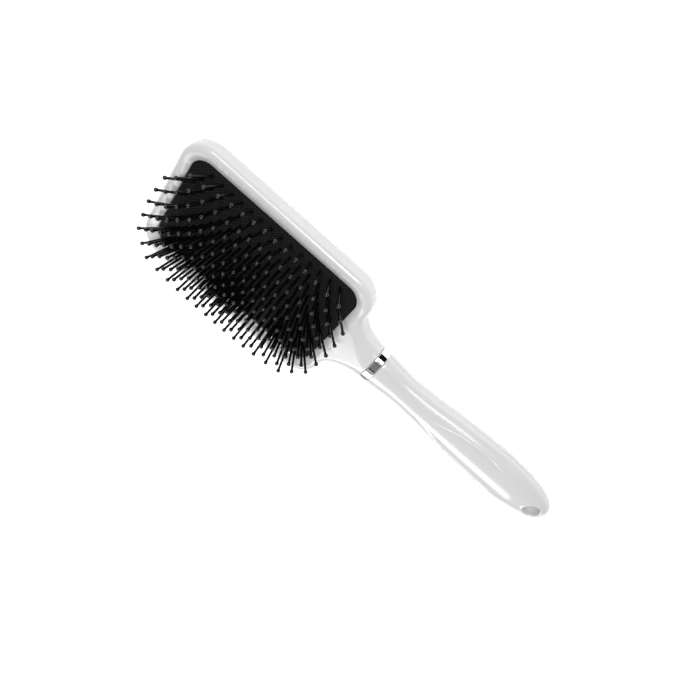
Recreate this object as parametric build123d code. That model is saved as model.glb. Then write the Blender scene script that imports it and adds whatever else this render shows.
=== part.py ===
# Paddle hair brush with an air cushion, lying on its back.
# Millimetres. +X runs from the head to the end of the handle, +Z is the way the pins point,
# z = 0 is the flat of the back, and x = 0 is the middle of the whole length.
import math
import os

from build123d import *

# ---- driving dimensions ----------------------------------------------------------------------
LENGTH = 250.0            # head edge to handle end
HEAD_LENGTH = 113.0
HEAD_WIDTH = 77.0
HEAD_THICKNESS = 14.5     # back to the crest of the frame
HEAD_CORNER_R = 15.0
RIM_FILLET_FRONT = 3.6    # rounding of the outer rim, pin side
RIM_FILLET_BACK = 10.0    # rounding of the outer rim, back

BORDER_SIDE = 8.6         # frame width beside the cushion
BORDER_TIP = 6.8          # frame width at the far end
BORDER_NECK = 6.8         # frame width at the neck end
CUSHION_CORNER_R = 8.5
LIP_THICKNESS = 1.6
LIP_SLOPE_WIDTH = 3.2     # plan width of the slope from the crest to the cushion
LIP_DROP = 2.0            # height of that slope

SEAM_Z = 4.2              # joint between the frame and the back cover
FLOOR = 2.2               # thickness of the back cover
GROOVE_DEPTH = 2.4        # how far the cushion flange reaches under the lip
FLANGE_THICKNESS = 1.5
RETAINER_THICKNESS = 2.0
RETAINER_WIDTH = 4.2
UPSTAND_WALL = 1.8        # wall on the back cover that holds the retainer up

DOME_HEIGHT = 7.6
DOME_POWER_X = 4.5        # flat along the head, steep at its two ends
DOME_POWER_Y = 1.7        # crowned across
MEMBRANE = 1.2            # rubber thickness
VENT_R = 0.9

PIN_ROWS = 13
PINS_MIDDLE_ROW = 16      # every other row, one less in the rows between
PIN_END_MARGIN = 5.45     # cushion edge to the end pins of a middle row
PIN_SIDE_MARGIN = 3.62    # cushion edge to the first and last row
PINS_EDGE_ROW = 14        # the first and last row stop short of the rounded corners
PIN_LENGTH = 14.8         # cushion surface to the centre of the ball
PIN_ROOT_R = 0.75
PIN_TIP_R = 0.62
BALL_R = 1.05
PIN_HEAD_R = 1.2          # head under the rubber
PIN_HEAD_THICKNESS = 0.75
LEAN_X = 1.08             # lean at the head's ends, radians at the cushion edge
LEAN_Y_LINEAR = 0.17      # lean towards the sides, radians at the cushion edge
LEAN_Y_CUBIC = 0.57

NECK_HALF_WIDTH = 12.4
NECK_FILLET = 8.5         # inside corner between the head and the neck
NECK_ROOT = 4.0           # how far the neck's own form reaches into the head
NECK_INSET = 0.1          # by which it lies inside the head's slab there
NECK_POWER = 2.6          # squareness of its section there; 2 is an ellipse
NECK_LENGTH = 17.6        # head edge to the band
BAND_WIDTH = 4.7
BAND_PROUD = 0.15
AXIS_Z = 8.5              # height of the handle's centre line
COLLAR_STEP = 1.35        # neck collar under the band
TANG_LENGTH = 22.0
TANG_WIDTH = 13.0
TANG_HEIGHT = 8.6
HANDLE_WALL = 2.4
HANG_HOLE_R = 4.2
HANG_HOLE_FROM_END = 8.4

# ---- fits -------------------------------------------------------------------------------------
PIN_CLEARANCE = 0.12      # pin in the rubber
HEAD_GAP = 0.8            # under the rubber, above the pin's head, so that a leaning head is free
LOCATING_CLEARANCE = 0.15
SEAT_GAP = 0.05
BAND_CLEARANCE = 0.05

# ---- derived places ---------------------------------------------------------------------------
HEAD_X0 = -LENGTH / 2
HEAD_X1 = HEAD_X0 + HEAD_LENGTH
HEAD_XC = (HEAD_X0 + HEAD_X1) / 2
CUSHION_LENGTH = HEAD_LENGTH - BORDER_TIP - BORDER_NECK
CUSHION_WIDTH = HEAD_WIDTH - 2 * BORDER_SIDE
CUSHION_XC = HEAD_X0 + BORDER_TIP + CUSHION_LENGTH / 2
RIM_Z = HEAD_THICKNESS - LIP_DROP
LIP_UNDER_Z = RIM_Z - LIP_THICKNESS
RETAINER_TOP_Z = LIP_UNDER_Z - FLANGE_THICKNESS - 2 * SEAT_GAP
RETAINER_Z = RETAINER_TOP_Z - RETAINER_THICKNESS
PIN_PITCH = (CUSHION_LENGTH - 2 * PIN_END_MARGIN) / (PINS_MIDDLE_ROW - 1)
ROW_SPACING = (CUSHION_WIDTH - 2 * PIN_SIDE_MARGIN) / (PIN_ROWS - 1)
BAND_X = HEAD_X1 + NECK_LENGTH
BAND_X1 = BAND_X + BAND_WIDTH
HANDLE_END = LENGTH / 2
HANG_X = HANDLE_END - HANG_HOLE_FROM_END
SPAN = HANDLE_END - BAND_X

# Half width and half height of the neck and handle, at shares of the way from the band to the end.
HANDLE_STATIONS = [
    (0.000, 11.2, 8.1),
    (0.055, 10.7, 7.9),
    (0.170, 9.1, 7.2),
    (0.290, 9.5, 7.4),
    (0.430, 11.6, 8.1),
    (0.580, 13.0, 8.45),
    (0.720, 13.5, 8.4),
    (0.840, 12.3, 7.6),
    (0.920, 9.8, 6.2),
    (0.970, 6.6, 4.4),
    (0.993, 3.3, 2.3),
    (1.000, 0.9, 0.7),
]

os.makedirs("parts", exist_ok=True)


def slab(length, width, radius, z0, z1, xc=CUSHION_XC):
    """A rounded rectangle block round the cushion's centre."""
    sketch = Plane.XY.offset(z0) * Pos(xc, 0) * RectangleRounded(length, width, radius)
    return extrude(sketch, amount=z1 - z0)


def cushion_slab(grow, z0, z1):
    """A block of the cushion's outline, larger all round by grow."""
    radius = max(CUSHION_CORNER_R + grow, 1.0)
    return slab(CUSHION_LENGTH + 2 * grow, CUSHION_WIDTH + 2 * grow, radius, z0, z1)


def section(x, half_width, half_height, z=AXIS_Z):
    """An upright ellipse across the handle."""
    plane = Plane(origin=(x, 0, z), x_dir=(0, 1, 0), z_dir=(1, 0, 0))
    return plane * Ellipse(half_width, half_height)


def handle_body(inset, first, last):
    """The handle's outer form, or a smaller one inside it, between two shares of its length."""
    stations = [s for s in HANDLE_STATIONS if first <= s[0] <= last]
    return loft([section(BAND_X + t * SPAN, a - inset, b - inset) for t, a, b in stations])


# ---- head -------------------------------------------------------------------------------------
def head_outer():
    """Head and the root of the neck as one rounded slab."""
    outline = Pos(HEAD_XC, 0) * RectangleRounded(HEAD_LENGTH, HEAD_WIDTH, HEAD_CORNER_R)
    neck_x1 = HEAD_X1 + NECK_FILLET
    neck = Pos((HEAD_XC + neck_x1) / 2, 0) * Rectangle(neck_x1 - HEAD_XC, 2 * NECK_HALF_WIDTH)
    outline = outline + neck
    inside = [v for v in outline.vertices()
              if abs(v.X - HEAD_X1) < 0.1 and abs(abs(v.Y) - NECK_HALF_WIDTH) < 0.1]
    straight = HEAD_WIDTH / 2 - HEAD_CORNER_R - NECK_HALF_WIDTH
    outline = fillet(inside, min(NECK_FILLET, 0.9 * straight))
    block = extrude(outline, amount=HEAD_THICKNESS)
    for face, radius in ((-1, RIM_FILLET_FRONT), (0, RIM_FILLET_BACK)):
        edges = block.faces().sort_by(Axis.Z)[face].edges()
        block = fillet([e for e in edges if e.center().X < neck_x1 - 0.01], radius)
    return block


def squared_oval(x, half_width, half_height, z, power):
    """An upright section between an ellipse (power 2) and a rounded rectangle (higher powers)."""
    points = []
    steps = 32
    for i in range(steps):
        turn = 2 * math.pi * i / steps
        c, s = math.cos(turn), math.sin(turn)
        reach = (abs(c) ** power + abs(s) ** power) ** (-1 / power)
        points.append((x, half_width * reach * c, z + half_height * reach * s))
    return make_face(Spline(*points, periodic=True))


def neck():
    """The neck, from the head's slab to the oval at the band."""
    _, band_width, band_height = HANDLE_STATIONS[0]
    x0 = HEAD_X1 - NECK_ROOT
    sections = []
    for share in (0, 0.4, 0.75, 1):
        turn = share * share * (3 - 2 * share)
        sections.append(squared_oval(
            x0 + (BAND_X - x0) * share,
            NECK_HALF_WIDTH - NECK_INSET + (band_width - NECK_HALF_WIDTH + NECK_INSET) * turn,
            HEAD_THICKNESS / 2 - NECK_INSET + (band_height - HEAD_THICKNESS / 2 + NECK_INSET) * turn,
            HEAD_THICKNESS / 2 + (AXIS_Z - HEAD_THICKNESS / 2) * turn,
            NECK_POWER + (2 - NECK_POWER) * turn))
    return loft(sections)


def tang():
    """Collar under the band, then the tongue that the handle shells clamp."""
    _, a, b = HANDLE_STATIONS[0]
    collar = extrude(section(BAND_X, a - COLLAR_STEP, b - COLLAR_STEP), amount=BAND_WIDTH)
    plane = Plane(origin=(BAND_X1, 0, AXIS_Z), x_dir=(0, 1, 0), z_dir=(1, 0, 0))
    tongue = extrude(plane * RectangleRounded(TANG_WIDTH, TANG_HEIGHT, 2), amount=TANG_LENGTH)
    return collar + tongue


def paddle_frame(outer):
    """Front moulding: frame round the cushion, neck and tang."""
    body = outer + neck() + tang()
    cover_x1 = HEAD_X1 - BORDER_NECK / 2
    split = Pos((HEAD_X0 - 5 + cover_x1) / 2, 0, SEAM_Z / 2)
    body = body - split * Box(cover_x1 - HEAD_X0 + 5, 2 * HEAD_WIDTH, SEAM_Z)
    body = body - cushion_slab(GROOVE_DEPTH + LOCATING_CLEARANCE, -1, LIP_UNDER_Z)
    body = body - cushion_slab(0, 0, HEAD_THICKNESS + 1)
    low = Plane.XY.offset(RIM_Z) * Pos(CUSHION_XC, 0) * RectangleRounded(
        CUSHION_LENGTH, CUSHION_WIDTH, CUSHION_CORNER_R)
    rise = 1.25
    grow = 2 * LIP_SLOPE_WIDTH * rise
    high = Plane.XY.offset(RIM_Z + LIP_DROP * rise) * Pos(CUSHION_XC, 0) * RectangleRounded(
        CUSHION_LENGTH + grow, CUSHION_WIDTH + grow, CUSHION_CORNER_R + grow / 2)
    return body - loft([low, high])


def back_cover(outer):
    """Back moulding with the wall that presses the retainer up."""
    cover_x1 = HEAD_X1 - BORDER_NECK / 2 - SEAT_GAP
    split = Pos((HEAD_X0 - 5 + cover_x1) / 2, 0, SEAM_Z / 2)
    shell = outer & (split * Box(cover_x1 - HEAD_X0 + 5, 2 * HEAD_WIDTH, SEAM_Z))
    shell = shell - cushion_slab(GROOVE_DEPTH - UPSTAND_WALL, FLOOR, SEAM_Z + 1)
    wall = cushion_slab(GROOVE_DEPTH, FLOOR, RETAINER_Z - SEAT_GAP)
    wall = wall - cushion_slab(GROOVE_DEPTH - UPSTAND_WALL, FLOOR - 1, RETAINER_TOP_Z)
    return shell + wall


def cushion_retainer():
    """Ring that traps the rubber flange against the lip."""
    ring = cushion_slab(GROOVE_DEPTH, RETAINER_Z, RETAINER_TOP_Z)
    return ring - cushion_slab(GROOVE_DEPTH - RETAINER_WIDTH, RETAINER_Z - 1, RETAINER_TOP_Z + 1)


# ---- cushion and pins -------------------------------------------------------------------------
def dome_z(u, v):
    """Height of the rubber's outer face at shares u, v of the cushion's half length and width."""
    u = min(abs(u), 1.0)
    v = min(abs(v), 1.0)
    return RIM_Z + DOME_HEIGHT * (1 - u ** DOME_POWER_X) * (1 - v ** DOME_POWER_Y)


def pin_axis(u, v):
    """Unit direction of a pin, fanned outwards by the crowned rubber."""
    lean_x = LEAN_X * u ** 3 * (1 - 0.5 * v * v)
    lean_y = (LEAN_Y_LINEAR * v + LEAN_Y_CUBIC * v ** 3) * (1 - 0.9 * u * u)
    return Vector(math.sin(lean_x),
                  math.sin(lean_y) * math.cos(lean_x),
                  math.cos(lean_x) * math.cos(lean_y))


def pin_places(row):
    """Root point and direction of each pin in a row; row 0 is the one at +Y."""
    if row in (0, PIN_ROWS - 1):
        count = PINS_EDGE_ROW
    else:
        count = PINS_MIDDLE_ROW - row % 2
    y = ((PIN_ROWS - 1) / 2 - row) * ROW_SPACING
    places = []
    for i in range(count):
        x = (i - (count - 1) / 2) * PIN_PITCH
        u = x / (CUSHION_LENGTH / 2)
        v = y / (CUSHION_WIDTH / 2)
        places.append((Vector(CUSHION_XC + x, y, dome_z(u, v)), pin_axis(u, v)))
    return places


def pin():
    """One nylon pin along +Z: head under the rubber, tapered shaft and ball tip."""
    head_top = -(MEMBRANE + HEAD_GAP)
    head_bottom = head_top - PIN_HEAD_THICKNESS
    join = PIN_LENGTH - math.sqrt(BALL_R ** 2 - PIN_TIP_R ** 2)
    with_ball = Polyline((0, head_bottom), (PIN_HEAD_R, head_bottom), (PIN_HEAD_R, head_top),
                         (PIN_ROOT_R, head_top), (PIN_ROOT_R, 1.0), (PIN_TIP_R, join))
    ball = ThreePointArc((PIN_TIP_R, join), (BALL_R, PIN_LENGTH), (0, PIN_LENGTH + BALL_R))
    close = Line((0, PIN_LENGTH + BALL_R), (0, head_bottom))
    profile = make_face(Curve() + [with_ball, ball, close])
    return revolve(Plane.XZ * profile, Axis.Z)


def pin_row(row, master):
    pins = []
    for root, axis in pin_places(row):
        plane = Plane(origin=root, x_dir=Vector(0, 1, 0).cross(axis), z_dir=axis)
        pins.append(plane.location * master)
    return Compound(children=pins)


def cushion_membrane():
    """Domed rubber with a flange under the lip, a hole for each pin and one vent."""
    half_x = CUSHION_LENGTH / 2
    half_y = CUSHION_WIDTH / 2
    margin = 1.04
    steps_x, steps_y = 40, 26
    grid = []
    for i in range(steps_x + 1):
        u = margin * (2 * i / steps_x - 1)
        line = []
        for j in range(steps_y + 1):
            v = margin * (2 * j / steps_y - 1)
            line.append(Vector(CUSHION_XC + u * half_x, v * half_y, dome_z(u, v)))
        grid.append(line)
    surface = Face.make_surface_from_array_of_points(grid, tol=0.02, min_deg=3, max_deg=5)
    sheet = Solid.extrude(surface, Vector(0, 0, -MEMBRANE))
    inner = SEAT_GAP
    sheet = sheet & cushion_slab(-inner, 0, 2 * HEAD_THICKNESS)
    wall = cushion_slab(-inner, LIP_UNDER_Z - FLANGE_THICKNESS - SEAT_GAP, RIM_Z - 0.2)
    wall = wall - cushion_slab(-inner - MEMBRANE, 0, RIM_Z + 1)
    flange_top = LIP_UNDER_Z - SEAT_GAP
    flange = cushion_slab(GROOVE_DEPTH - SEAT_GAP, flange_top - FLANGE_THICKNESS, flange_top)
    flange = flange - cushion_slab(-inner - MEMBRANE, 0, RIM_Z + 1)
    rubber = sheet + wall + flange
    hole = Cylinder(PIN_ROOT_R + PIN_CLEARANCE, 8)
    cutters = []
    for row in range(PIN_ROWS):
        for root, axis in pin_places(row):
            plane = Plane(origin=root, x_dir=Vector(0, 1, 0).cross(axis), z_dir=axis)
            cutters.append(plane.location * hole)
    cutters.append(Pos(CUSHION_XC, 0, RIM_Z + DOME_HEIGHT) * Cylinder(VENT_R, 8))
    return rubber.cut(*cutters)


# ---- band and handle --------------------------------------------------------------------------
def neck_band():
    """Chrome ring round the joint of the neck and handle."""
    _, a, b = HANDLE_STATIONS[0]
    ring = extrude(section(BAND_X, a + BAND_PROUD, b + BAND_PROUD), amount=BAND_WIDTH)
    inner = COLLAR_STEP - BAND_CLEARANCE
    return ring - extrude(section(BAND_X, a - inner, b - inner), amount=BAND_WIDTH)


def handle_shells():
    """Two shells that meet at the centre line and clamp the tang."""
    grip = handle_body(0, 0, 1)
    grip = grip - Pos(BAND_X1 - 50, 0, AXIS_Z) * Box(100, 100, 100)
    plane = Plane(origin=(BAND_X1, 0, AXIS_Z), x_dir=(0, 1, 0), z_dir=(1, 0, 0))
    socket_w = TANG_WIDTH + 2 * SEAT_GAP
    socket_h = TANG_HEIGHT + 2 * SEAT_GAP
    socket = extrude(plane * RectangleRounded(socket_w, socket_h, 2), amount=TANG_LENGTH + 1)
    grip = grip - socket
    grip = grip - handle_body(HANDLE_WALL, 0.28, 0.85)
    grip = grip - Pos(HANG_X, 0, AXIS_Z) * Cylinder(HANG_HOLE_R, 40)
    front = grip & Pos(0, 0, AXIS_Z + 25) * Box(2 * LENGTH, 100, 50)
    back = grip & Pos(0, 0, AXIS_Z - 25) * Box(2 * LENGTH, 100, 50)
    return front, back


def write(shape, name):
    export_step(shape, f"parts/{name}.step")


def build():
    outer = head_outer()
    write(paddle_frame(outer), "paddle_frame")
    write(back_cover(outer), "back_cover")
    write(cushion_retainer(), "cushion_retainer")
    write(cushion_membrane(), "cushion_membrane")
    write(neck_band(), "neck_band")
    front, back = handle_shells()
    write(front, "handle_front_shell")
    write(back, "handle_back_shell")
    master = pin()
    for row in range(PIN_ROWS):
        write(pin_row(row, master), f"pin_row_{row + 1:02d}")


build()
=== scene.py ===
import math
import random

import bpy
import numpy as np
from mathutils import Matrix, Vector


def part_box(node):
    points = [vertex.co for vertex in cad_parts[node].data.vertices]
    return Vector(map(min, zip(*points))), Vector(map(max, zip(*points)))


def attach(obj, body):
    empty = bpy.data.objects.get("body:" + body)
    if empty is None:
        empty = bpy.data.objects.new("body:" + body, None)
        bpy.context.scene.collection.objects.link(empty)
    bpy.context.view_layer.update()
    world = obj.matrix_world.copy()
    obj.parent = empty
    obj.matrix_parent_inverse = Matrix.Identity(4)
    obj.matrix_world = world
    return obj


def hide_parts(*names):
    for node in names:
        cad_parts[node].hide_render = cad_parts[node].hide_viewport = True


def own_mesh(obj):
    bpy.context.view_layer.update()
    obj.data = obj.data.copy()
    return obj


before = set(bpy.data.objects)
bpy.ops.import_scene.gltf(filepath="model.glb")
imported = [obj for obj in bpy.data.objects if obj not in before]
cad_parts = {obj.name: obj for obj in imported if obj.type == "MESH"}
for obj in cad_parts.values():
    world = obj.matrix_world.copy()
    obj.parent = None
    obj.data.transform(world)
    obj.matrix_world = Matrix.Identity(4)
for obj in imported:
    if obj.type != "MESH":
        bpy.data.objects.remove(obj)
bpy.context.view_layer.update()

# Paddle hair brush with an air cushion. Shapes are worked out in millimetres and written in metres.
# +X runs from the head to the end of the handle, and the pins point along +Z.
MM = 0.001


def corners(node):
    """Lowest and highest corner of a CAD node, in millimetres."""
    return [np.array(corner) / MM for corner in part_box(node)]


# ---- sizes, in millimetres ---------------------------------------------------------------------
FRAME_LOW, FRAME_HIGH = corners("paddle_frame")
COVER_LOW, COVER_HIGH = corners("back_cover")
BAND_LOW, BAND_HIGH = corners("neck_band")
GRIP_HIGH = corners("handle_front_shell")[1]
FLANGE_LOW, FLANGE_HIGH = corners("cushion_membrane")

HEAD_LENGTH = 113.0
HEAD_THICKNESS = 14.5
HEAD_WIDTH = FRAME_HIGH[1] - FRAME_LOW[1]
HEAD_X0 = FRAME_LOW[0]
HEAD_X1 = HEAD_X0 + HEAD_LENGTH
HEAD_XC = (HEAD_X0 + HEAD_X1) / 2
HEAD_CORNER_R = 15.0
RIM_FILLET_FRONT = 3.6
RIM_FILLET_BACK = 10.0

BORDER_SIDE = 8.6
BORDER_END = 6.8
CUSHION_LENGTH = HEAD_LENGTH - 2 * BORDER_END
CUSHION_WIDTH = HEAD_WIDTH - 2 * BORDER_SIDE
CUSHION_CORNER_R = 8.5
LIP_SLOPE = 2.0 / 3.2             # fall of the lip towards the cushion
RIM_Z = HEAD_THICKNESS - 2.0      # edge of the rubber
LIP_UNDER_Z = RIM_Z - 1.6
POCKET_REACH = 2.55               # pocket under the lip
CREST_SOFTNESS = 1.1

SEAM_Z = COVER_LOW[2] + 4.2
SEAM_X = COVER_HIGH[0] + 0.05
SEAM_GAP = 0.05
SEAM_GROOVE = 0.26
SEAM_ROUNDING = 0.2               # along the parting line of the handle
SEAM_CLEARANCE = 0.01             # each handle shell stops this short of it
COVER_FLOOR = 2.2
UPSTAND_TOP = COVER_HIGH[2]
UPSTAND_OUT = 2.4
UPSTAND_IN = 0.6

DOME_HEIGHT = 7.6
DOME_POWER_X = 4.5
DOME_POWER_Y = 1.7
MEMBRANE = 1.2
EDGE_ROLL = 1.4                   # the rubber rolls down into the gap round it
EDGE_DROP = 1.55
VENT_R = 0.9
VENT_DEPTH = 0.9
DIMPLE_DEPTH = 0.4                # hollow round each pin
DIMPLE_R = 1.0
SWELL_HEIGHT = 0.16               # low ring round each hollow
SWELL_R = 1.7
SWELL_WIDTH = 0.5
CUSHION_PITCH = 0.4               # spacing of the rubber's grid

PIN_ROWS = 13
PINS_MIDDLE_ROW = 16
PINS_EDGE_ROW = 14
PIN_END_MARGIN = 5.45
PIN_SIDE_MARGIN = 3.62
PIN_PITCH = (CUSHION_LENGTH - 2 * PIN_END_MARGIN) / (PINS_MIDDLE_ROW - 1)
ROW_SPACING = (CUSHION_WIDTH - 2 * PIN_SIDE_MARGIN) / (PIN_ROWS - 1)
PIN_LENGTH = 14.8
PIN_ROOT_R = 0.75
PIN_TIP_R = 0.62
PIN_HEAD_R = 1.2
PIN_HEAD_THICKNESS = 0.75
BALL_R = 1.05
PIN_FOOT = 2.75                   # how far the pin reaches under the rubber
LEAN_X = 1.08
LEAN_Y_LINEAR = 0.17
LEAN_Y_CUBIC = 0.57

AXIS_Z = 8.5                      # height of the handle's centre line
NECK_HALF_WIDTH = 13.4
NECK_FILLET = 9.5
NECK_X0 = HEAD_X1 - 5             # where the rim starts to turn into the neck
BAND_X0 = BAND_LOW[0]
BAND_X1 = BAND_HIGH[0]
BAND_HALF_WIDTH = 11.2
BAND_HALF_HEIGHT = 8.1
COLLAR_STEP = 1.35                # the neck's collar is this much lower, for the band to sit on
END_ROUNDING = 0.6                # on the mouldings' ends at the band
NECK_RIM_CUT = 4.5                # by which the back rim's rounding shrinks into the neck
TANG_END = FRAME_HIGH[0]
TANG_WIDTH = 13.0
TANG_HEIGHT = 8.6
HANDLE_END = GRIP_HIGH[0]
HANDLE_WALL = 2.4
HANG_HOLE_R = 4.2
HANG_X = HANDLE_END - 8.4
HANG_BEAD = 0.3                   # height of the raised rim round the hang hole
HANG_ROUNDING = 0.8
SOCKET_CLEARANCE = 0.1            # the tang's socket is larger by this, across and upright
TANG_CORNER_R = 2.0
HOLLOW_X0 = TANG_END + 3          # the space inside the handle
HOLLOW_X1 = HANG_X - 12

# Half width and half height of the handle, at shares of the way from the band to the end.
HANDLE_STATIONS = [
    (0.000, 11.2, 8.1),
    (0.055, 10.7, 7.9),
    (0.170, 9.1, 7.2),
    (0.290, 9.5, 7.4),
    (0.430, 11.6, 8.1),
    (0.580, 13.0, 8.45),
    (0.720, 13.5, 8.4),
    (0.840, 12.3, 7.6),
    (0.920, 9.8, 6.2),
    (0.970, 6.6, 4.4),
    (0.993, 3.3, 2.3),
    (1.000, 0.9, 0.7),
]

# Half width and depth of the sunk panel on the pin side of the handle, by place along X.
PANEL_STATIONS = [
    (40.0, 1.5, 0.00),
    (50.0, 4.0, 0.30),
    (60.0, 7.0, 0.55),
    (75.0, 9.0, 0.55),
    (90.0, 8.4, 0.45),
    (104.0, 7.6, 0.00),
]
PANEL_EDGE = 1.3

STEP = 0.55                       # spacing of the surface grid
STEP_FINE = 0.12                  # the same across a parting line


# ---- fields: distance-like functions in millimetres, negative inside ------------------------------
def smooth_max(a, b, reach):
    """The larger of a and b, rounded over where they are within reach of each other."""
    h = np.maximum(reach - np.abs(a - b), 0) / reach
    return np.maximum(a, b) + h * h * reach / 4


def ease(x, start, end):
    """0 before start, 1 after end, smooth between."""
    t = np.clip((x - start) / (end - start), 0, 1)
    return t * t * (3 - 2 * t)


def rounded_rectangle(x, y, length, width, radius):
    """Distance outside a rounded rectangle round the origin."""
    a = np.abs(x) - length / 2 + radius
    b = np.abs(y) - width / 2 + radius
    return np.hypot(np.maximum(a, 0), np.maximum(b, 0)) + np.minimum(np.maximum(a, b), 0) - radius


def cushion_plan(x, y):
    return rounded_rectangle(x - HEAD_XC, y, CUSHION_LENGTH, CUSHION_WIDTH, CUSHION_CORNER_R)


def neck_half_width(x):
    return NECK_HALF_WIDTH + (BAND_HALF_WIDTH - NECK_HALF_WIDTH) * ease(x, HEAD_X1 + 3, BAND_X0)


def outer_plan(x, y):
    """Distance outside the outline of the head and neck, with round inside corners between them."""
    head = rounded_rectangle(x - HEAD_XC, y, HEAD_LENGTH, HEAD_WIDTH, HEAD_CORNER_R)
    neck = np.maximum(np.abs(y) - neck_half_width(x), HEAD_XC - x)
    u = np.maximum(NECK_FILLET - head, 0)
    v = np.maximum(NECK_FILLET - neck, 0)
    return np.maximum(NECK_FILLET, np.minimum(head, neck)) - np.hypot(u, v)


def outer_form(x, y, z):
    """The head as a slab with rounded rims, turning into the oval of the neck."""
    turn = ease(x, NECK_X0, BAND_X0)
    half = HEAD_THICKNESS / 2 + (BAND_HALF_HEIGHT - HEAD_THICKNESS / 2) * turn
    middle = HEAD_THICKNESS / 2 + (AXIS_Z - HEAD_THICKNESS / 2) * turn
    back_rim = RIM_FILLET_BACK - NECK_RIM_CUT * ease(x, HEAD_X1 - 6, HEAD_X1 + 4)
    rim = np.where(z > middle, RIM_FILLET_FRONT, back_rim)
    across = rim + (BAND_HALF_WIDTH - rim) * turn
    upright = rim + (BAND_HALF_HEIGHT - rim) * turn
    a = np.maximum(outer_plan(x, y) + across, 0) / across
    b = np.maximum(np.abs(z - middle) - half + upright, 0) / upright
    plan = outer_plan(x, y) / across
    lid = (np.abs(z - middle) - half) / upright
    rounded = np.where((a > 0) & (b > 0), np.hypot(a, b) - 1, np.maximum(plan, lid))
    return rounded * np.minimum(across, upright)


def ellipse_bar(y, z, half_width, half_height):
    """Distance-like value for a bar of oval section along the handle's centre line."""
    return (np.hypot(y / half_width, (z - AXIS_Z) / half_height) - 1) * half_height


def cover_space(x, z):
    """Negative where the back cover is, on the far side of the parting line from the frame."""
    return np.maximum(z - SEAM_Z, x - SEAM_X)


def frame_field(x, y, z):
    """Front moulding: border round the cushion, neck, collar and tang."""
    outer = outer_form(x, y, z)
    plan = cushion_plan(x, y)
    lip = (z - RIM_Z - LIP_SLOPE * plan) / math.hypot(1, LIP_SLOPE)
    body = smooth_max(outer, lip, CREST_SOFTNESS)
    body = smooth_max(body, -plan, 0.5)
    body = np.maximum(body, -np.maximum(plan - POCKET_REACH, z - LIP_UNDER_Z))
    space = cover_space(x, z)
    body = np.maximum(body, -space)
    body = np.maximum(body, SEAM_GROOVE - np.hypot(outer, space))
    body = smooth_max(body, x - BAND_X0, END_ROUNDING)
    collar = ellipse_bar(y, z, BAND_HALF_WIDTH - COLLAR_STEP, BAND_HALF_HEIGHT - COLLAR_STEP)
    collar = np.maximum(collar, np.maximum(BAND_X0 - 2 - x, x - BAND_X1))
    tang = rounded_rectangle(y, z - AXIS_Z, TANG_WIDTH, TANG_HEIGHT, TANG_CORNER_R)
    tang = np.maximum(tang, np.maximum(BAND_X0 - x, x - TANG_END))
    return np.minimum(body, np.minimum(collar, tang))


def cover_field(x, y, z):
    """Back moulding with the wall that carries the retainer."""
    outer = outer_form(x, y, z)
    plan = cushion_plan(x, y)
    space = cover_space(x, z)
    shell = np.maximum(outer, space + SEAM_GAP)
    shell = np.maximum(shell, SEAM_GROOVE - np.hypot(outer, space))
    upstand = np.maximum(plan - UPSTAND_OUT, np.maximum(z - UPSTAND_TOP, COVER_FLOOR - z))
    return np.maximum(np.minimum(shell, upstand), -np.maximum(plan - UPSTAND_IN, COVER_FLOOR - z))


def through(stations, x, column):
    """A smooth curve through one column of a station list, level past its ends."""
    places = np.array([s[0] for s in stations])
    values = np.array([s[column] for s in stations])
    slopes = np.gradient(values, places)
    i = np.clip(np.searchsorted(places, x) - 1, 0, len(places) - 2)
    span = places[i + 1] - places[i]
    t = np.clip((x - places[i]) / span, 0, 1)
    rise = values[i + 1] - values[i]
    curve = (2 * t - 3) * t * t
    start = ((t - 2) * t + 1) * t * slopes[i] * span
    end = (t - 1) * t * t * slopes[i + 1] * span
    return values[i] - curve * rise + start + end


# Squares of the half sizes run evenly into the rounded end, so the curve is drawn through those.
HANDLE_SQUARES = [(BAND_X0 + t * (HANDLE_END - BAND_X0), a * a, b * b) for t, a, b in HANDLE_STATIONS]


def handle_field(x, y, z):
    """The whole handle: oval sections, sunk panel, hang hole, socket for the tang and hollow inside."""
    half_width = np.sqrt(np.maximum(through(HANDLE_SQUARES, x, 1), 0.3))
    half_height = np.sqrt(np.maximum(through(HANDLE_SQUARES, x, 2), 0.2))
    body = ellipse_bar(y, z, half_width, half_height)
    panel = ease(-np.abs(y), -through(PANEL_STATIONS, x, 1) - PANEL_EDGE / 2,
                 -through(PANEL_STATIONS, x, 1) + PANEL_EDGE / 2)
    body = body + through(PANEL_STATIONS, x, 2) * panel * ease(z, AXIS_Z, AXIS_Z + 3)
    body = smooth_max(body, BAND_X1 - x, END_ROUNDING)
    body = np.maximum(body, x - HANDLE_END)
    hole = np.hypot(x - HANG_X, y) - HANG_HOLE_R
    bead = np.exp(-((hole - 0.8) / 0.5) ** 2)
    body = smooth_max(body - HANG_BEAD * bead, -hole, HANG_ROUNDING)
    socket = rounded_rectangle(y, z - AXIS_Z, TANG_WIDTH + SOCKET_CLEARANCE,
                               TANG_HEIGHT + SOCKET_CLEARANCE, TANG_CORNER_R)
    body = np.maximum(body, -np.maximum(socket, x - TANG_END - 1))
    inside_width = np.maximum(half_width - HANDLE_WALL, 1)
    inside_height = np.maximum(half_height - HANDLE_WALL, 1)
    hollow = ellipse_bar(y, z, inside_width, inside_height)
    hollow = np.maximum(hollow, np.maximum(HOLLOW_X0 - x, x - HOLLOW_X1))
    return np.maximum(body, -hollow)


def front_grip_field(x, y, z):
    body = handle_field(x, y, z)
    return smooth_max(body, AXIS_Z - z + SEAM_CLEARANCE, SEAM_ROUNDING)


def back_grip_field(x, y, z):
    body = handle_field(x, y, z)
    return smooth_max(body, z - AXIS_Z + SEAM_CLEARANCE, SEAM_ROUNDING)


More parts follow.
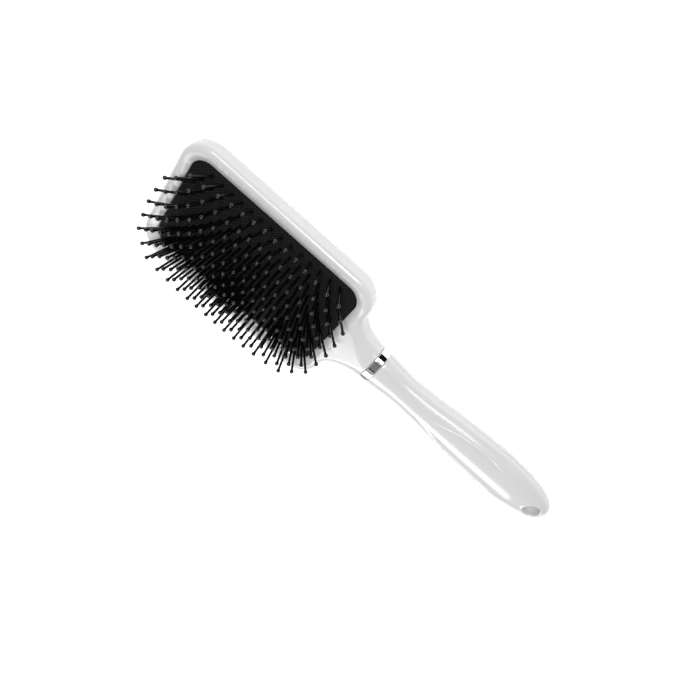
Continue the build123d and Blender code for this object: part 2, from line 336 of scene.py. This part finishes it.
# ---- surfaces ------------------------------------------------------------------------------------
def grid_lines(low, high, fine=()):
    """Grid lines from low to high, closer together round each place in fine."""
    lines = list(np.arange(low, high + STEP, STEP))
    reach = 4 * STEP_FINE
    for place in fine:
        lines = [v for v in lines if abs(v - place) > reach + STEP / 3]
        lines += list(np.arange(place - reach, place + reach + STEP_FINE / 2, STEP_FINE))
    return np.array(sorted(lines))


def surface_net(field, lines):
    """Points and quads on the surface where field is 0, one point in each grid cell that it crosses."""
    value = field(*np.meshgrid(*lines, indexing="ij"))
    inside = value < 0
    cells = tuple(n - 1 for n in inside.shape)
    total = np.zeros(cells + (3,))
    count = np.zeros(cells)
    for a in range(3):
        b, c = (a + 1) % 3, (a + 2) % 3
        v = np.moveaxis(value, (a, b, c), (0, 1, 2))
        crossed = (v[:-1] < 0) != (v[1:] < 0)
        share = np.where(crossed, v[:-1] / np.where(crossed, v[:-1] - v[1:], 1), 0)
        along = lines[a][:-1, None, None] + share * np.diff(lines[a])[:, None, None]
        point = np.zeros(crossed.shape + (3,))
        point[..., a] = along * crossed
        point[..., b] = lines[b][None, :, None] * crossed
        point[..., c] = lines[c][None, None, :] * crossed
        sum_view = np.moveaxis(total, (a, b, c), (0, 1, 2))
        count_view = np.moveaxis(count, (a, b, c), (0, 1, 2))
        for j in (0, 1):
            for k in (0, 1):
                part = (slice(None), slice(j, j + cells[b]), slice(k, k + cells[c]))
                sum_view += point[part]
                count_view += crossed[part]
    used = count > 0
    number = np.full(cells, -1)
    number[used] = np.arange(used.sum())
    points = total[used] / count[used][:, None]
    quads = []
    for a in range(3):
        b, c = (a + 1) % 3, (a + 2) % 3
        solid = np.moveaxis(inside, (a, b, c), (0, 1, 2))
        index = np.moveaxis(number, (a, b, c), (0, 1, 2))
        crossed = (solid[:-1] != solid[1:])[:, 1:-1, 1:-1]
        i, j, k = np.nonzero(crossed)
        quad = np.stack([index[i, j, k], index[i, j + 1, k], index[i, j + 1, k + 1], index[i, j, k + 1]], 1)
        outward = solid[:-1][:, 1:-1, 1:-1][crossed]
        quads.append(np.where(outward[:, None], quad, quad[:, ::-1]))
    return points, np.concatenate(quads)


def settle(field, points):
    """Moves each point onto the surface along the field's slope."""
    h = 0.01
    furthest = 0.25
    for _ in range(6):
        value = field(*points.T)
        slope = np.empty_like(points)
        for axis in range(3):
            step = np.zeros(3)
            step[axis] = h
            slope[:, axis] = (field(*(points + step).T) - field(*(points - step).T)) / (2 * h)
        move = slope * (value / np.maximum((slope ** 2).sum(1), 0.05))[:, None]
        length = np.linalg.norm(move, axis=1, keepdims=True)
        points = points - move * np.minimum(1, furthest / np.maximum(length, 1e-9))
    return points


def add_piece(name, points, faces, body, material, slot, *nodes):
    """Makes a smooth-shaded piece from points in mm, riding on a body and standing for CAD nodes."""
    if isinstance(faces, np.ndarray):
        faces = faces.tolist()
    mesh = bpy.data.meshes.new(name)
    mesh.from_pydata((np.asarray(points) * MM).tolist(), [], faces)
    mesh.polygons.foreach_set("use_smooth", [True] * len(mesh.polygons))
    mesh.materials.append(material)
    mesh.update()
    piece = bpy.data.objects.new(name, mesh)
    bpy.context.scene.collection.objects.link(piece)
    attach(piece, body)
    if nodes:
        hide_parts(*nodes)
    return piece


def add_field_piece(name, field, lines, body, material, slot, *nodes):
    points, quads = surface_net(field, lines)
    return add_piece(name, settle(field, points), quads, body, material, slot, *nodes)


# ---- materials -----------------------------------------------------------------------------------
class Shader:
    """A node material under construction; every texture uses the object's own coordinates."""

    def __init__(self, name, **sockets):
        self.material = bpy.data.materials.new(name)
        self.material.use_nodes = True
        self.tree = self.material.node_tree
        self.surface = self.tree.nodes["Principled BSDF"]
        self.coordinates = self.node("ShaderNodeTexCoord").outputs["Object"]
        for socket, value in sockets.items():
            self.surface.inputs[socket.replace("_", " ")].default_value = value

    def node(self, kind, **values):
        made = self.tree.nodes.new(kind)
        for key, value in values.items():
            setattr(made, key, value)
        return made

    def link(self, start, end):
        self.tree.links.new(start, end)

    def noise(self, scale, detail=3.0, stretch=(1, 1, 1)):
        mapping = self.node("ShaderNodeMapping")
        mapping.inputs["Scale"].default_value = stretch
        self.link(self.coordinates, mapping.inputs["Vector"])
        made = self.node("ShaderNodeTexNoise")
        made.inputs["Scale"].default_value = scale
        made.inputs["Detail"].default_value = detail
        self.link(mapping.outputs["Vector"], made.inputs["Vector"])
        return made.outputs["Fac"]

    def ramp(self, value, low, high, start, end):
        """Maps value from low..high to start..end, held level outside."""
        made = self.node("ShaderNodeMapRange")
        for socket, number in (("From Min", low), ("From Max", high), ("To Min", start), ("To Max", end)):
            made.inputs[socket].default_value = number
        self.link(value, made.inputs["Value"])
        return made.outputs["Result"]

    def math(self, operation, a, b):
        made = self.node("ShaderNodeMath", operation=operation)
        for socket, value in zip(made.inputs, (a, b)):
            if isinstance(value, (int, float)):
                socket.default_value = value
            else:
                self.link(value, socket)
        return made.outputs["Value"]

    def mix(self, factor, first, second):
        """Colour between first and second."""
        made = self.node("ShaderNodeMix", data_type="RGBA")
        self.link(factor, made.inputs["Factor"])
        made.inputs["A"].default_value = (*first, 1)
        made.inputs["B"].default_value = (*second, 1)
        return made.outputs["Result"]

    def bump(self, *layers):
        """Stacks (height, distance in mm, strength) layers into the surface normal."""
        normal = None
        for height, distance, strength in layers:
            made = self.node("ShaderNodeBump")
            made.inputs["Distance"].default_value = distance * MM
            made.inputs["Strength"].default_value = strength
            self.link(height, made.inputs["Height"])
            if normal is not None:
                self.link(normal, made.inputs["Normal"])
            normal = made.outputs["Normal"]
        self.link(normal, self.surface.inputs["Normal"])

    def edges(self, low, high):
        """1 on convex edges, 0 on flat faces."""
        point = self.node("ShaderNodeNewGeometry").outputs["Pointiness"]
        return self.ramp(point, low, high, 0, 1)


def white_gloss():
    """Glossy moulded white: faint orange peel, cloudy pigment, edges rubbed duller."""
    s = Shader("white_gloss", IOR=1.5, Coat_Weight=0.35, Coat_Roughness=0.08)
    cloud = s.noise(28, 4)
    rubbed = s.edges(0.52, 0.6)
    s.link(s.mix(s.ramp(cloud, 0.3, 0.7, 0, 1), (0.600, 0.600, 0.605), (0.625, 0.625, 0.628)),
           s.surface.inputs["Base Color"])
    smear = s.ramp(s.noise(90, 6, (1, 3, 3)), 0.35, 0.75, 0.16, 0.26)
    s.link(s.math("ADD", smear, s.math("MULTIPLY", rubbed, 0.12)), s.surface.inputs["Roughness"])
    s.bump((s.noise(420, 2), 0.05, 0.25), (s.noise(2600, 2), 0.01, 0.15))
    return s.material


def retainer_plastic():
    s = Shader("retainer_plastic", IOR=1.49)
    s.link(s.mix(s.noise(60, 4), (0.62, 0.62, 0.62), (0.74, 0.74, 0.73)), s.surface.inputs["Base Color"])
    s.link(s.ramp(s.noise(300, 4), 0.3, 0.7, 0.45, 0.65), s.surface.inputs["Roughness"])
    s.bump((s.noise(900, 3), 0.04, 0.4))
    return s.material


def cushion_rubber():
    """Black rubber with a fine square mesh moulded in its face; the crests of the mesh are coloured lighter
    as a painted highlight.
    """
    s = Shader("cushion_rubber", IOR=1.4, Specular_IOR_Level=0.1)
    mapping = s.node("ShaderNodeMapping")
    mapping.inputs["Rotation"].default_value = (0, 0, math.radians(45))
    s.link(s.coordinates, mapping.inputs["Vector"])
    threads = []
    for direction in ("X", "Y"):
        wave = s.node("ShaderNodeTexWave", bands_direction=direction)
        wave.inputs["Scale"].default_value = 314.0
        wave.inputs["Distortion"].default_value = 0.25
        wave.inputs["Detail"].default_value = 1.0
        s.link(mapping.outputs["Vector"], wave.inputs["Vector"])
        threads.append(wave.outputs["Fac"])
    weave = s.math("MULTIPLY", *threads)
    # painted highlight: the crests of the weave get a lighter colour, while the weave's relief itself comes
    # from the bump
    painted_crest_highlight = s.ramp(weave, 0.3, 0.9, 0, 1)
    s.link(s.mix(painted_crest_highlight, (0.004, 0.004, 0.0045), (0.036, 0.036, 0.038)), s.surface.inputs["Base Color"])
    s.link(s.ramp(s.noise(70, 5), 0.3, 0.7, 0.5, 0.68), s.surface.inputs["Roughness"])
    s.bump((weave, 0.25, 0.8), (s.noise(3000, 3), 0.02, 0.3))
    return s.material


def pin_nylon():
    """Polished black nylon with fine draw lines along the shaft."""
    s = Shader("pin_nylon", IOR=1.5)
    s.link(s.mix(s.noise(120, 3), (0.0015, 0.0015, 0.0017), (0.004, 0.004, 0.0043)),
           s.surface.inputs["Base Color"])
    s.link(s.ramp(s.noise(500, 4), 0.3, 0.7, 0.07, 0.16), s.surface.inputs["Roughness"])
    s.bump((s.noise(1500, 2, (1, 1, 0.1)), 0.01, 0.3))
    return s.material


def band_chrome():
    """Bright plating with hairline scratches round the ring and duller edges."""
    s = Shader("band_chrome", Metallic=1.0)
    s.link(s.mix(s.noise(200, 3), (0.80, 0.80, 0.81), (0.90, 0.90, 0.90)), s.surface.inputs["Base Color"])
    hairline = s.noise(900, 4, (6, 0.4, 0.4))
    polished = s.ramp(hairline, 0.4, 0.8, 0.03, 0.12)
    rubbed = s.math("MULTIPLY", s.edges(0.52, 0.6), 0.2)
    s.link(s.math("ADD", polished, rubbed), s.surface.inputs["Roughness"])
    s.bump((hairline, 0.004, 0.2))
    return s.material


def floor_paper():
    s = Shader("floor_paper", IOR=1.4, Emission_Color=(1, 1, 1, 1), Emission_Strength=0.4)
    s.link(s.mix(s.noise(6, 5), (0.90, 0.90, 0.90), (0.93, 0.93, 0.93)), s.surface.inputs["Base Color"])
    s.link(s.ramp(s.noise(40, 4), 0.3, 0.7, 0.7, 0.85), s.surface.inputs["Roughness"])
    s.bump((s.noise(700, 4), 0.05, 0.2))
    return s.material


WHITE = white_gloss()
RETAINER = retainer_plastic()
RUBBER = cushion_rubber()
NYLON = pin_nylon()
CHROME = band_chrome()


# ---- head ----------------------------------------------------------------------------------------
def build_head():
    x = grid_lines(HEAD_X0 - 1, TANG_END + 1, (SEAM_X, BAND_X0))
    y = grid_lines(-HEAD_WIDTH / 2 - 1, HEAD_WIDTH / 2 + 1)
    z = grid_lines(-1, AXIS_Z + BAND_HALF_HEIGHT + 1, (SEAM_Z,))
    add_field_piece("frame_moulding", frame_field, (x, y, z), "paddle",
                    WHITE, "white_gloss", "paddle_frame")
    x = grid_lines(HEAD_X0 - 1, COVER_HIGH[0] + 1, (SEAM_X,))
    z = grid_lines(-1, UPSTAND_TOP + 1, (SEAM_Z,))
    add_field_piece("back_moulding", cover_field, (x, y, z), "paddle", WHITE, "white_gloss", "back_cover")
    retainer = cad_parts["cushion_retainer"]
    retainer.data.materials.clear()
    retainer.data.materials.append(RETAINER)


# ---- cushion -------------------------------------------------------------------------------------
def dome_z(u, v):
    """Height of the rubber at shares u, v of the cushion's half length and width."""
    u = np.minimum(np.abs(u), 1)
    v = np.minimum(np.abs(v), 1)
    return RIM_Z + DOME_HEIGHT * (1 - u ** DOME_POWER_X) * (1 - v ** DOME_POWER_Y)


def pin_axis(u, v):
    lean_x = LEAN_X * u ** 3 * (1 - 0.5 * v * v)
    lean_y = (LEAN_Y_LINEAR * v + LEAN_Y_CUBIC * v ** 3) * (1 - 0.9 * u * u)
    upright = math.cos(lean_x)
    return Vector((math.sin(lean_x), math.sin(lean_y) * upright, upright * math.cos(lean_y)))


def pin_places(row):
    """Root point and direction of each pin in a row; row 0 is the one at +Y."""
    if row in (0, PIN_ROWS - 1):
        count = PINS_EDGE_ROW
    else:
        count = PINS_MIDDLE_ROW - row % 2
    y = ((PIN_ROWS - 1) / 2 - row) * ROW_SPACING
    places = []
    for i in range(count):
        x = (i - (count - 1) / 2) * PIN_PITCH
        u = x / (CUSHION_LENGTH / 2)
        v = y / (CUSHION_WIDTH / 2)
        places.append((Vector((HEAD_XC + x, y, float(dome_z(u, v)))), pin_axis(u, v)))
    return places


def rubber_face(x, y):
    """Outer face of the rubber: dome, dimples round the pins, vent, and an edge that rolls down."""
    z = dome_z((x - HEAD_XC) / (CUSHION_LENGTH / 2), y / (CUSHION_WIDTH / 2))
    for row in range(PIN_ROWS):
        for root, _ in pin_places(row):
            away = np.hypot(x - root.x, y - root.y)
            hollow = DIMPLE_DEPTH * np.exp(-(away / DIMPLE_R) ** 2)
            z = z - hollow + SWELL_HEIGHT * np.exp(-((away - SWELL_R) / SWELL_WIDTH) ** 2)
    vent = np.hypot(x - HEAD_XC, y)
    z = z - VENT_DEPTH * (1 - ease(vent, VENT_R - 0.3, VENT_R + 0.3))
    into = np.clip(1 + cushion_plan(x, y) / EDGE_ROLL, 0, 1)
    return z - EDGE_DROP * (1 - np.sqrt(1 - into ** 2))


def build_cushion():
    across = round(CUSHION_LENGTH / CUSHION_PITCH)
    up = round(CUSHION_WIDTH / CUSHION_PITCH)
    edge = 0.05
    half_x = CUSHION_LENGTH / 2 - edge
    half_y = CUSHION_WIDTH / 2 - edge
    radius = CUSHION_CORNER_R - edge
    x, y = np.meshgrid(np.linspace(-half_x, half_x, across + 1),
                       np.linspace(-half_y, half_y, up + 1), indexing="ij")
    corner_x = np.maximum(np.abs(x) - half_x + radius, 0)
    corner_y = np.maximum(np.abs(y) - half_y + radius, 0)
    reach = np.hypot(corner_x, corner_y)
    shrink = np.where(reach > 0, np.maximum(corner_x, corner_y) / np.maximum(reach, 1e-9), 1)
    x = np.sign(x) * (np.minimum(np.abs(x), half_x - radius) + corner_x * shrink)
    y = np.sign(y) * (np.minimum(np.abs(y), half_y - radius) + corner_y * shrink)
    top = np.stack([x + HEAD_XC, y, rubber_face(x + HEAD_XC, y)], -1)
    under = top.copy()
    under[..., :2] = (top[..., :2] - (HEAD_XC, 0)) * (1 - 1.2 * MEMBRANE / half_y) + (HEAD_XC, 0)
    u = (under[..., 0] - HEAD_XC) / (CUSHION_LENGTH / 2)
    v = under[..., 1] / (CUSHION_WIDTH / 2)
    under[..., 2] = dome_z(u, v) - MEMBRANE

    number = np.arange(top.shape[0] * top.shape[1]).reshape(top.shape[:2])
    ring = np.concatenate([number[:-1, 0], number[-1, :-1], number[:0:-1, -1], number[0, :0:-1]])
    points = [top.reshape(-1, 3), under.reshape(-1, 3)]
    cells = np.stack([number[:-1, :-1], number[1:, :-1], number[1:, 1:], number[:-1, 1:]], -1).reshape(-1, 4)
    faces = [cells, cells[:, ::-1] + number.size]
    border = points[0][ring]
    flat = np.array((half_x - radius, half_y - radius))
    outward = border[:, :2] - (HEAD_XC, 0) - np.clip(border[:, :2] - (HEAD_XC, 0), -flat, flat)
    outward = outward / np.linalg.norm(outward, axis=1, keepdims=True)
    flange_out = FLANGE_HIGH[1] - CUSHION_WIDTH / 2 + edge
    flange_top = LIP_UNDER_Z - edge
    flange_low = FLANGE_LOW[2]
    profile = [(0, flange_top), (flange_out, flange_top), (flange_out, flange_low), (-MEMBRANE, flange_low)]
    last = ring
    count = 2 * number.size
    for out, z in profile:
        loop = np.column_stack([border[:, :2] + outward * out, np.full(len(ring), z)])
        now = np.arange(len(ring)) + count
        points.append(loop)
        count += len(ring)
        faces.append(np.stack([last, now, np.roll(now, -1), np.roll(last, -1)], 1))
        last = now
    now = ring + number.size
    faces.append(np.stack([last, now, np.roll(now, -1), np.roll(last, -1)], 1))
    cushion = add_piece("rubber_dome", np.concatenate(points), np.concatenate(faces), "paddle",
                        RUBBER, "cushion_rubber", "cushion_membrane")
    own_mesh(cushion)


# ---- pins ----------------------------------------------------------------------------------------
def pin_profile():
    """(radius, height) pairs of a pin from its foot to the top of its ball."""
    neck = PIN_LENGTH - math.sqrt(BALL_R ** 2 - PIN_TIP_R ** 2)
    head_top = -PIN_FOOT + PIN_HEAD_THICKNESS
    pairs = [(0.0, -PIN_FOOT), (PIN_HEAD_R, -PIN_FOOT), (PIN_HEAD_R, head_top), (PIN_ROOT_R, head_top)]
    pairs += [(PIN_ROOT_R, -0.2), (PIN_ROOT_R * 0.98, 1.0), (PIN_ROOT_R * 0.9, 2.4)]
    pairs += [(PIN_TIP_R * 1.02, PIN_LENGTH * 0.6), (PIN_TIP_R, neck - 0.5), (PIN_TIP_R * 1.06, neck - 0.1)]
    start = math.asin(PIN_TIP_R * 1.2 / BALL_R)
    steps = 7
    for i in range(steps):
        turn = math.pi - start - (math.pi - start) * i / steps
        pairs.append((BALL_R * math.sin(turn), PIN_LENGTH + BALL_R * math.cos(turn)))
    pairs.append((0.0, PIN_LENGTH + BALL_R))
    return pairs


def build_pins():
    wander = random.Random(13)
    lean = math.radians(0.7)
    sides = 14
    profile = pin_profile()
    for row in range(PIN_ROWS):
        points, faces = [], []
        for root, axis in pin_places(row):
            nudge = Vector((wander.gauss(0, lean), wander.gauss(0, lean), 0))
            turn = Vector((0, 0, 1)).rotation_difference((axis + nudge).normalized()).to_matrix()
            base = len(points)
            for radius, height in profile[1:-1]:
                for k in range(sides):
                    a = 2 * math.pi * k / sides
                    points.append(root + turn @ Vector((radius * math.cos(a), radius * math.sin(a), height)))
            rings = len(profile) - 2
            for i in range(rings - 1):
                for k in range(sides):
                    n = (k + 1) % sides
                    low, high = base + i * sides, base + (i + 1) * sides
                    faces.append((low + k, low + n, high + n, high + k))
            for end, first in ((profile[0], base), (profile[-1], base + (rings - 1) * sides)):
                points.append(root + turn @ Vector((0, 0, end[1])))
                tip = len(points) - 1
                for k in range(sides):
                    edge = (first + k, first + (k + 1) % sides)
                    faces.append((*edge, tip) if first != base else (*edge[::-1], tip))
        body = f"pin_row_{row + 1:02d}"
        add_piece(f"pins_{row + 1:02d}", points, faces, body, NYLON, "pin_nylon", body)


# ---- band and handle -----------------------------------------------------------------------------
def build_band():
    """Plated ring: a slightly barrelled face between two small rolled edges."""
    width = BAND_X1 - BAND_X0
    proud = BAND_HIGH[1] - BAND_HALF_WIDTH
    inner = -(COLLAR_STEP - 0.05)
    profile = [(0.05, inner), (0.05, -0.25), (0.12, 0.0), (0.35, proud * 0.7), (0.6, proud * 0.75)]
    profile += [(width * s, proud) for s in (0.25, 0.4, 0.5, 0.6, 0.75)]
    profile += [(width - x, out) for x, out in profile[4::-1]]
    sides = 160
    turn = np.arange(sides) * 2 * math.pi / sides
    points = []
    for x, out in profile:
        points.append(np.column_stack([
            np.full(sides, BAND_X0 + x),
            (BAND_HALF_WIDTH + out) * np.cos(turn),
            AXIS_Z + (BAND_HALF_HEIGHT + out) * np.sin(turn),
        ]))
    faces = []
    for i in range(len(profile)):
        low = i * sides + np.arange(sides)
        high = (i + 1) % len(profile) * sides + np.arange(sides)
        faces.append(np.stack([low, np.roll(low, -1), np.roll(high, -1), high], 1)[:, ::-1])
    add_piece("plated_ring", np.concatenate(points), np.concatenate(faces), "paddle",
              CHROME, "band_chrome", "neck_band")


def build_handle():
    x = grid_lines(BAND_X1 - 1, HANDLE_END + 1, (BAND_X1,))
    y = grid_lines(-GRIP_HIGH[1] - 1, GRIP_HIGH[1] + 1)
    z = grid_lines(AXIS_Z - 1, GRIP_HIGH[2] + 1, (AXIS_Z,))
    add_field_piece("grip_front", front_grip_field, (x, y, z), "paddle",
                    WHITE, "white_gloss", "handle_front_shell")
    z = grid_lines(-1, AXIS_Z + 1, (AXIS_Z,))
    add_field_piece("grip_back", back_grip_field, (x, y, z), "paddle",
                    WHITE, "white_gloss", "handle_back_shell")


build_head()
build_cushion()
build_pins()
build_band()
build_handle()


# ---- camera, floor and light ---------------------------------------------------------------------
def build_camera():
    """The brush seen from its pin side, pins towards the lower left and handle to the lower right."""
    place = Vector((-0.0372, 0.2453, 0.2651))
    aim = Vector((-0.0061, -0.0006, 0.0118))
    roll = math.radians(144.0)
    data = bpy.data.cameras.new("camera")
    data.lens = 37.0
    data.sensor_width = 36.0
    camera = bpy.data.objects.new("camera", data)
    bpy.context.scene.collection.objects.link(camera)
    look = (aim - place).to_track_quat("-Z", "Y").to_matrix().to_4x4()
    camera.matrix_world = Matrix.Translation(place) @ look @ Matrix.Rotation(-roll, 4, "Z")
    bpy.context.scene.camera = camera


def build_floor():
    half = 4.0
    mesh = bpy.data.meshes.new("floor")
    corner_points = [(-half, -half, 0), (half, -half, 0), (half, half, 0), (-half, half, 0)]
    mesh.from_pydata(corner_points, [], [(0, 1, 2, 3)])
    mesh.materials.append(floor_paper())
    floor = bpy.data.objects.new("floor", mesh)
    bpy.context.scene.collection.objects.link(floor)


def add_softbox(name, place, aim, size, power):
    data = bpy.data.lights.new(name, "AREA")
    data.shape = "RECTANGLE"
    data.size, data.size_y = size
    data.energy = power
    light = bpy.data.objects.new(name, data)
    bpy.context.scene.collection.objects.link(light)
    place = Vector(place)
    look = (Vector(aim) - place).to_track_quat("-Z", "Y").to_matrix().to_4x4()
    light.matrix_world = Matrix.Translation(place) @ look


# Brightness of the cards beside the brush, by the angle in degrees up from the horizon at +Y.
CARDS = (
    (0, 0.02), (44, 0.02), (46, 1.0), (67, 1.0), (69, 0.04),
    (75, 0.45), (107, 0.5), (109, 0.04), (113, 0.04), (115, 1.0),
)


def build_world():
    """Pale surroundings with a strip of dark and grey cards that shows in the plating.

    What the camera sees directly stays plain white.
    """
    world = bpy.data.worlds.new("studio")
    world.use_nodes = True
    tree = world.node_tree

    def node(kind, inputs=(), **values):
        made = tree.nodes.new(kind)
        for key, value in values.items():
            setattr(made, key, value)
        for socket, value in inputs:
            if isinstance(value, (int, float)):
                made.inputs[socket].default_value = value
            else:
                tree.links.new(value, made.inputs[socket])
        return made.outputs[0]

    def span(value, low, high, start, end):
        return node("ShaderNodeMapRange", (("Value", value), ("From Min", low), ("From Max", high),
                                           ("To Min", start), ("To Max", end)))

    def math_node(operation, first, second=0.0):
        return node("ShaderNodeMath", ((0, first), (1, second)), operation=operation)

    split = tree.nodes.new("ShaderNodeSeparateXYZ")
    tree.links.new(tree.nodes.new("ShaderNodeTexCoord").outputs["Generated"], split.inputs["Vector"])
    x, y, z = split.outputs
    strength = span(z, 0.2, 0.8, 0.38, 0.44)
    cards = tree.nodes.new("ShaderNodeValToRGB")
    ramp = cards.color_ramp
    for place, value in CARDS:
        stop = ramp.elements.new(place / 180)
        stop.color = (value, value, value, 1)
    ramp.elements.remove(ramp.elements[0])
    turn = math_node("ARCTAN2", z, y)
    tree.links.new(math_node("DIVIDE", turn, math.pi), cards.inputs["Fac"])
    beside = span(math_node("ABSOLUTE", math_node("SUBTRACT", x, 0.12)), 0.16, 0.22, 0.0, 1.0)
    strength = math_node("MULTIPLY", strength, math_node("MAXIMUM", cards.outputs["Color"], beside))
    seen = tree.nodes.new("ShaderNodeLightPath").outputs["Is Camera Ray"]
    background = tree.nodes["Background"]
    tree.links.new(math_node("MAXIMUM", strength, seen), background.inputs["Strength"])
    background.inputs["Color"].default_value = (1, 1, 1, 1)
    bpy.context.scene.world = world


def build_light():
    build_world()
    aim = (HEAD_XC * MM, 0, 0)
    add_softbox("key", (-0.15, 0.66, 0.78), aim, (0.9, 0.28), 5)
    add_softbox("fill", (0.1, -0.8, 0.6), aim, (0.9, 0.4), 5.5)
    add_softbox("spark", (-0.02, 0.36, 0.62), aim, (0.06, 0.06), 1.2)
    view = bpy.context.scene.view_settings
    view.view_transform = "Standard"
    view.look = "None"
    view.exposure = 0.0


build_camera()
build_floor()
build_light()
